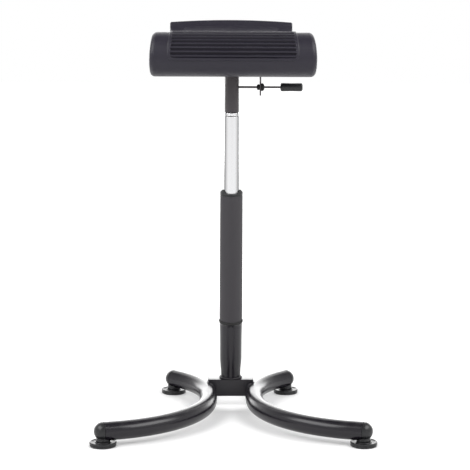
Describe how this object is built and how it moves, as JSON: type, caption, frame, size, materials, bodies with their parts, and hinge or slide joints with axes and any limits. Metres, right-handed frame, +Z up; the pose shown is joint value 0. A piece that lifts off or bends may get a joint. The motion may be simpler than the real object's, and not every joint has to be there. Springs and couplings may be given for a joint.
{
  "type": "perch stool",
  "caption": "Perch stool with a ribbed moulded saddle seat on a gas-sprung column, with a release lever, bent tube legs and round floor glides.",
  "frame": {"origin": "on the floor, on the column's axis", "axes": "+Z up; -Y towards the seat's ribbed roll, the side that the picture was taken from; +X towards the release lever"},
  "size_m": [0.5804, 0.5066, 0.8463],
  "materials": {
    "gloss_black_steel": "glossy black powder coat",
    "matte_grey_cover": "matte dark grey plastic sleeve",
    "satin_black_steel": "fine-textured satin black coat",
    "chrome_tube": "polished chrome",
    "plain_steel": "zinc plated",
    "black_plastic": "satin black moulded plastic",
    "black_rubber": "matte black rubber",
    "charcoal_foam": "integral-skin polyurethane foam, satin, fine leather-like grain"
  },
  "bodies": {
    "base": {"left_leg": "gloss_black_steel", "right_leg": "gloss_black_steel", "cross_beam": "gloss_black_steel", "hub_socket": "gloss_black_steel", "standing_tube": "plain_steel", "cover_ring": "black_rubber", "column_cover": "matte_grey_cover", "guide_cap": "black_plastic", "bearing_lower_race": "plain_steel", "front_left_end_cap": "black_plastic", "front_right_end_cap": "black_plastic", "rear_left_end_cap": "black_plastic", "rear_right_end_cap": "black_plastic"},
    "front_left_foot": {"front_left_glide": "black_plastic"},
    "front_right_foot": {"front_right_glide": "black_plastic"},
    "rear_left_foot": {"rear_left_glide": "black_plastic"},
    "rear_right_foot": {"rear_right_glide": "black_plastic"},
    "cage": {"bearing_cage": "black_plastic"},
    "rod": {"piston_rod": "plain_steel", "piston": "plain_steel", "bearing_upper_race": "plain_steel", "rubber_buffer": "black_rubber", "retaining_clip": "plain_steel"},
    "seat": {"spring_tube": "chrome_tube", "rod_guide": "plain_steel", "seat_post": "satin_black_steel", "seat_plate": "satin_black_steel", "lever_bracket": "satin_black_steel", "lever_grommet": "black_rubber", "front_left_seat_screw": "plain_steel", "front_right_seat_screw": "plain_steel", "rear_left_seat_screw": "plain_steel", "rear_right_seat_screw": "plain_steel", "seat_cushion": "charcoal_foam"},
    "lever": {"lever_rod": "satin_black_steel", "lever_grip": "black_plastic"},
    "button": {"valve_button": "plain_steel"}
  },
  "joints": [
    {"name": "seat_swivel", "type": "hinge", "parent": "base", "child": "rod", "pos_m": [0, 0, 0.1], "axis": [0, 0, 1], "continuous": true},
    {"name": "bearing_roll", "type": "hinge", "parent": "base", "child": "cage", "pos_m": [0, 0, 0.1], "axis": [0, 0, 1], "continuous": true},
    {"name": "seat_height", "type": "slide", "parent": "rod", "child": "seat", "axis": [0, 0, 1], "range_m": [-0.155, 0]},
    {"name": "lever_lift", "type": "hinge", "parent": "seat", "child": "lever", "pos_m": [0.0614, 0, 0.7032], "axis": [0, -1, 0], "range_deg": [0, 4], "stiffness_Nm_per_rad": 1.5, "springref_deg": -11.46},
    {"name": "valve_press", "type": "slide", "parent": "seat", "child": "button", "axis": [0, 0, 1], "range_m": [-0.0045, 0]},
    {"name": "front_left_glide_turn", "type": "hinge", "parent": "base", "child": "front_left_foot", "pos_m": [-0.2627, -0.35109, 0], "axis": [0, 0, 1], "continuous": true},
    {"name": "front_right_glide_turn", "type": "hinge", "parent": "base", "child": "front_right_foot", "pos_m": [0.2627, -0.35109, 0], "axis": [0, 0, 1], "continuous": true},
    {"name": "rear_left_glide_turn", "type": "hinge", "parent": "base", "child": "rear_left_foot", "pos_m": [-0.12802, 0.10044, 0], "axis": [0, 0, 1], "continuous": true},
    {"name": "rear_right_glide_turn", "type": "hinge", "parent": "base", "child": "rear_right_foot", "pos_m": [0.12802, 0.10044, 0], "axis": [0, 0, 1], "continuous": true}
  ],
  "couplings": [
    {"joint": "bearing_roll", "follows": "seat_swivel", "ratio": 0.5},
    {"joint": "valve_press", "follows": "lever_lift", "m_per_rad": -0.0614}
  ]
}
